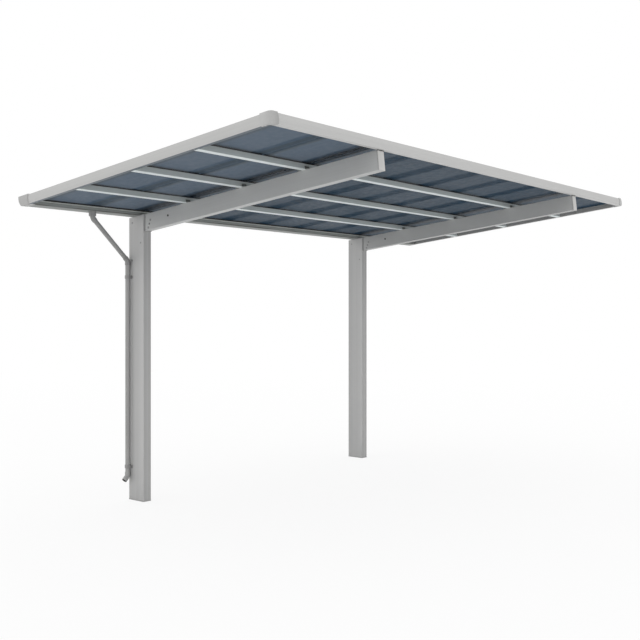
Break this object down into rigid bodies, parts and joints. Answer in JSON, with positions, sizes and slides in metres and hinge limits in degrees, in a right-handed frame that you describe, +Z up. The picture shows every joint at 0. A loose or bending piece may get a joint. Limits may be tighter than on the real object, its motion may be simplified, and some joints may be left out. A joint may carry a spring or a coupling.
{
  "type": "carport",
  "caption": "Cantilever carport: two posts carry rising arms, purlins and a rimmed roof of tinted sheets, with a gutter and a round downpipe on the post side",
  "frame": {"origin": "middle of the front post's foot, on the ground", "axes": "+X across the bay from the posts to the high edge, +Y along the gutter from the front post to the rear post, +Z up"},
  "size_m": [2.5327, 4.96, 2.6169],
  "materials": {
    "post_metal": "matt anodised",
    "arm_metal": "matt anodised",
    "rim_metal": "matt anodised",
    "gutter_metal": "matt anodised",
    "cap_plastic": "fine grain",
    "corner_plastic": "fine grain",
    "seal_rubber": "matt",
    "tinted_sheet": "smooth, blue-grey tint",
    "joint_plastic": "smooth, dark tint",
    "pipe_plastic": "smooth",
    "clip_plastic": "smooth"
  },
  "bodies": {
    "root": {"front_post": "post_metal", "rear_post": "post_metal", "front_arm": "arm_metal", "rear_arm": "arm_metal", "front_arm_cap": "cap_plastic", "rear_arm_cap": "cap_plastic", "low_purlin": "arm_metal", "middle_purlin": "arm_metal", "high_purlin": "arm_metal", "front_rim": "rim_metal", "rear_rim": "rim_metal", "high_rim": "rim_metal", "front_high_corner": "corner_plastic", "rear_high_corner": "corner_plastic", "front_gutter_corner": "corner_plastic", "rear_gutter_corner": "corner_plastic", "gutter": "gutter_metal", "gutter_seal": "seal_rubber", "roof_sheet_1": "tinted_sheet", "roof_sheet_2": "tinted_sheet", "roof_sheet_3": "tinted_sheet", "roof_sheet_4": "tinted_sheet", "roof_sheet_5": "tinted_sheet", "roof_sheet_6": "tinted_sheet", "roof_sheet_7": "tinted_sheet", "roof_sheet_8": "tinted_sheet", "roof_sheet_9": "tinted_sheet", "roof_sheet_10": "tinted_sheet", "joint_strip_1": "joint_plastic", "joint_strip_2": "joint_plastic", "joint_strip_3": "joint_plastic", "joint_strip_4": "joint_plastic", "joint_strip_5": "joint_plastic", "joint_strip_6": "joint_plastic", "joint_strip_7": "joint_plastic", "joint_strip_8": "joint_plastic", "joint_strip_9": "joint_plastic", "gutter_outlet": "pipe_plastic", "upper_elbow": "pipe_plastic", "offset_pipe": "pipe_plastic", "lower_elbow": "pipe_plastic", "downpipe": "pipe_plastic", "spout": "pipe_plastic", "upper_pipe_clip": "clip_plastic", "lower_pipe_clip": "clip_plastic"}
  },
  "joints": []
}
